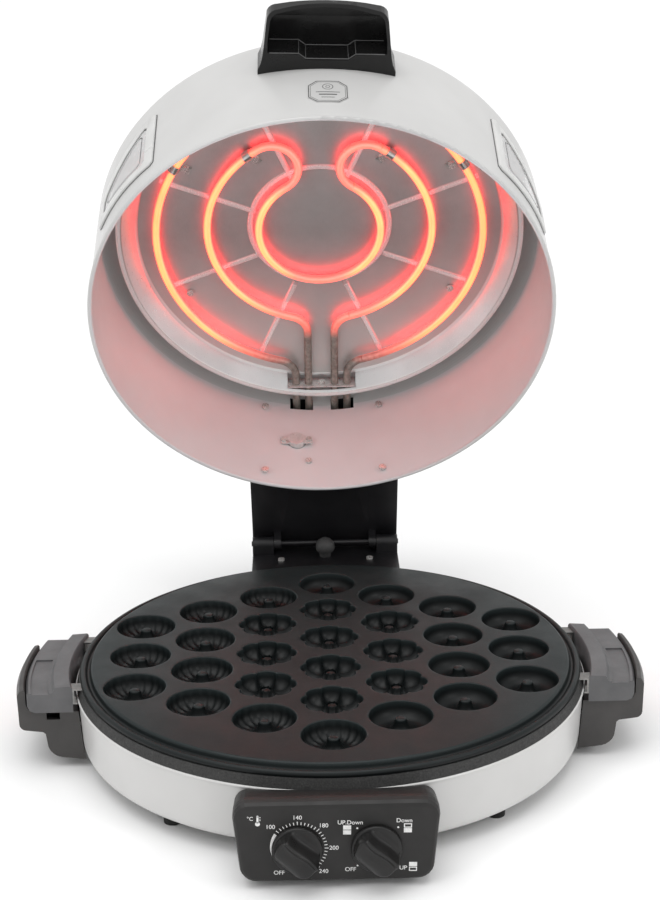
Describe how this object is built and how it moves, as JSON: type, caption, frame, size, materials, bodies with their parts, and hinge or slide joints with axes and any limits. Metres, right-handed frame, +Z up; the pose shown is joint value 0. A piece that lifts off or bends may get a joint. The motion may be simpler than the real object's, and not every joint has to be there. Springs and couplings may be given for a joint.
{
  "type": "electric donut maker",
  "caption": "Round electric donut maker with a cavity plate, side grips, two-knob control box and a deep hinged lid with glowing tube heaters.",
  "frame": {"origin": "on the table under the middle of the outline's bounding box, lid open; the round base's axis stands 57.95 mm in front of it (y = -0.05795)", "axes": "+Z up, the control box and knobs face -Y, the hinge is at the back on +Y, and +X is to the right seen from the front"},
  "size_m": [0.5226, 0.6384, 0.6017],
  "materials": {
    "white_paint": "smooth satin baked paint",
    "plate_coating": "fine-textured dark non-stick coating on cast aluminium",
    "black_enamel": "fine-textured black stove paint",
    "panel_black": "moulded heat-resistant plastic, satin",
    "grip_grey": "moulded grey phenolic plastic, satin",
    "bracket_grey": "moulded dark grey plastic, satin",
    "bright_metal": "plain zinc-plated steel",
    "aluminised_sheet": "dull aluminised sheet",
    "heater_sheath": "oxidised steel sheath",
    "heater_hot": "steel sheath glowing orange with heat",
    "foot_rubber": "soft black rubber",
    "bumper_rubber": "dark grey silicone rubber",
    "window_glass": "clear toughened glass",
    "terminal_ceramic": "unglazed white ceramic",
    "wire_sleeve": "braided glass-fibre sleeve",
    "badge_metal": "plain satin plate"
  },
  "bodies": {
    "base": {"base_shell": "white_paint", "base_underplate": "bright_metal", "rubber_feet": "foot_rubber", "foot_screws": "bright_metal", "base_top_ring": "black_enamel", "heat_shield_pan": "aluminised_sheet", "lower_outer_heater": "heater_sheath", "lower_inner_heater": "heater_sheath", "lower_heater_clips": "bright_metal", "donut_plate": "plate_coating", "plate_tabs": "bright_metal", "left_plate_grip": "grip_grey", "right_plate_grip": "grip_grey", "left_side_bracket": "bracket_grey", "right_side_bracket": "bracket_grey", "bracket_screws": "bright_metal", "control_box": "panel_black", "thermostat_body": "bright_metal", "selector_body": "panel_black", "control_nuts": "bright_metal", "thermostat_bulb": "bright_metal", "terminal_block": "terminal_ceramic", "base_wiring": "wire_sleeve", "hinge_base_bracket": "black_enamel", "base_bracket_screws": "bright_metal", "hinge_pin": "bright_metal", "lid_bumper": "bumper_rubber"},
    "lid": {"hinge_lid_bracket": "black_enamel", "lid_bracket_screws": "bright_metal", "lid_shell": "white_paint", "lid_reflector": "aluminised_sheet", "reflector_spacers": "bright_metal", "reflector_screws": "bright_metal", "lid_heater_clips": "bright_metal", "lid_outer_heater": "heater_hot", "lid_inner_heater": "heater_hot", "heater_terminal_plate": "bright_metal", "terminal_plate_screw": "bright_metal", "lid_thermal_cutout": "bright_metal", "cutout_screws": "bright_metal", "earth_screw": "bright_metal", "left_window_frame": "black_enamel", "right_window_frame": "black_enamel", "left_window_glass": "window_glass", "right_window_glass": "window_glass", "lid_handle": "panel_black", "handle_screws": "bright_metal", "lid_badge": "badge_metal"},
    "temperature_control": {"temperature_knob": "panel_black", "thermostat_shaft": "bright_metal"},
    "mode_selector": {"selector_knob": "panel_black", "selector_shaft": "bright_metal"}
  },
  "joints": [
    {"name": "lid_hinge", "type": "hinge", "parent": "base", "child": "lid", "pos_m": [0, 0.21605, 0.0734], "axis": [1, 0, 0], "range_deg": [0, 66]},
    {"name": "temperature_turn", "type": "hinge", "parent": "base", "child": "temperature_control", "pos_m": [-0.0287, -0.30095, 0.033], "axis": [0, 1, 0], "range_deg": [-270, 0]},
    {"name": "selector_turn", "type": "hinge", "parent": "base", "child": "mode_selector", "pos_m": [0.0287, -0.30095, 0.033], "axis": [0, 1, 0], "range_deg": [-270, 0]}
  ]
}
